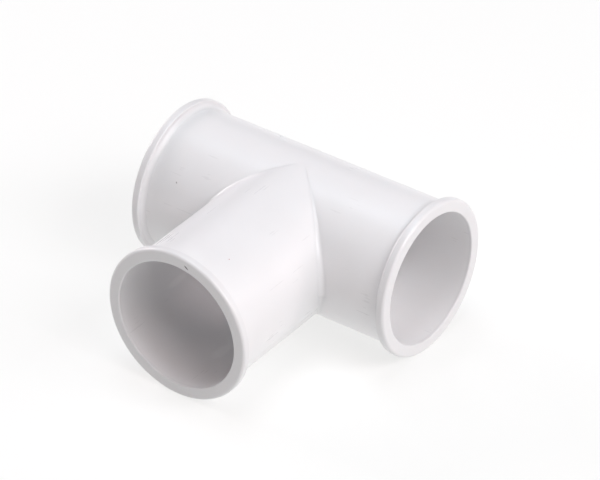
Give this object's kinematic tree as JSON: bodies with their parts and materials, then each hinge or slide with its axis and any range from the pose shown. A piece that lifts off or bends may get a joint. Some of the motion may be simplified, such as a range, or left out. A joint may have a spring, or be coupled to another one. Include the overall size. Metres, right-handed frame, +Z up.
{
  "type": "tee fitting",
  "caption": "Equal tee of thin-wall white plastic tube: a straight run with a mitred branch at right angles, a rounded rim round each mouth, and sockets with inner stops.",
  "frame": {"origin": "on the surface that the tee lies on, under the middle of its bounding box", "axes": "+X along the run towards the right mouth, -Y along the branch towards its mouth, +Z up; the tubes' axes cross above the origin at (0, 23.3, 30.4) mm"},
  "size_m": [0.1134, 0.1074, 0.0608],
  "materials": {
    "tube_plastic": "smooth satin-gloss white, as moulded",
    "rim_plastic": "smooth satin-gloss white, with fine turned marks on the faces",
    "weld_plastic": "smoothed white weld, a little duller than the tubes"
  },
  "bodies": {
    "root": {"run_tube": "tube_plastic", "branch_tube": "tube_plastic", "left_rim": "rim_plastic", "right_rim": "rim_plastic", "branch_rim": "rim_plastic", "left_weld": "weld_plastic", "right_weld": "weld_plastic"}
  },
  "joints": []
}
